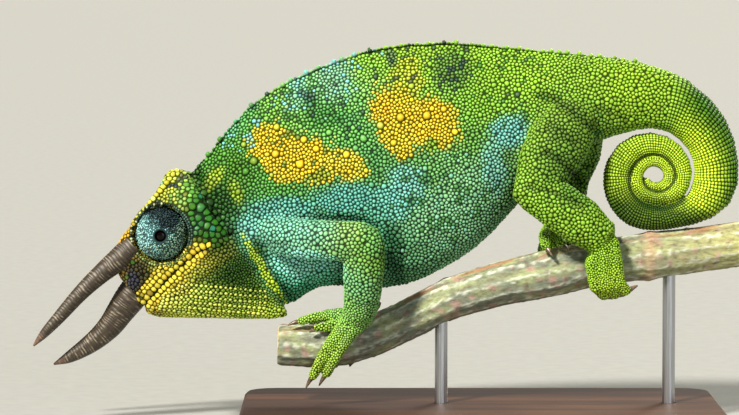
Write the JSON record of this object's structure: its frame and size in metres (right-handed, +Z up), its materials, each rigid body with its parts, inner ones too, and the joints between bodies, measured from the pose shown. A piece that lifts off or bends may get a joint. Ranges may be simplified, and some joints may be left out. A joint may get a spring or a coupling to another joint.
{
  "type": "three-horned chameleon on a perch",
  "caption": "Life-size three-horned chameleon gripping a cut length of branch, tail coiled, on a plain display stand.",
  "frame": {"origin": "centre of the underside of the display stand's base", "axes": "+Z up; -X is the way the head points, along the branch; -Y is the animal's left side"},
  "size_m": [0.1855, 0.064, 0.0954],
  "materials": {
    "skin": "glossy green, yellow and turquoise bead scales",
    "lid": "fine blue-grey bead scales",
    "eyeball": "wet black",
    "horn": "satin ringed horn",
    "claw": "satin dark claw",
    "bark": "rough lichened bark",
    "stand_wood": "satin dark hardwood",
    "stand_steel": "brushed"
  },
  "bodies": {
    "root": {"head": "skin", "lower_jaw": "skin", "throat": "skin", "neck": "skin", "trunk": "skin", "tail_root": "skin", "tail_arch": "skin", "tail_outer_turn": "skin", "tail_middle_turn": "skin", "tail_tip_turn": "skin", "left_upper_arm": "skin", "left_forearm": "skin", "right_upper_arm": "skin", "right_forearm": "skin", "left_thigh": "skin", "left_shank": "skin", "right_thigh": "skin", "right_shank": "skin", "left_hand_outer_toes": "skin", "left_hand_inner_toes": "skin", "right_hand_outer_toes": "skin", "right_hand_inner_toes": "skin", "left_foot_outer_toes": "skin", "left_foot_inner_toes": "skin", "right_foot_outer_toes": "skin", "right_foot_inner_toes": "skin", "eye_left": "lid", "eye_right": "lid", "eyeball_left": "eyeball", "eyeball_right": "eyeball", "horn_brow_left": "horn", "horn_brow_right": "horn", "horn_nose": "horn", "left_hand_outer_claw_1": "claw", "left_hand_outer_claw_2": "claw", "left_hand_inner_claw_1": "claw", "left_hand_inner_claw_2": "claw", "left_hand_inner_claw_3": "claw", "left_foot_outer_claw_1": "claw", "left_foot_outer_claw_2": "claw", "left_foot_outer_claw_3": "claw", "left_foot_inner_claw_1": "claw", "left_foot_inner_claw_2": "claw", "right_hand_outer_claw_1": "claw", "right_hand_outer_claw_2": "claw", "right_hand_inner_claw_1": "claw", "right_hand_inner_claw_2": "claw", "right_hand_inner_claw_3": "claw", "right_foot_outer_claw_1": "claw", "right_foot_outer_claw_2": "claw", "right_foot_outer_claw_3": "claw", "right_foot_inner_claw_1": "claw", "right_foot_inner_claw_2": "claw", "perch": "bark", "stand_base": "stand_wood", "stand_rod_front": "stand_steel", "stand_rod_rear": "stand_steel"}
  },
  "joints": []
}
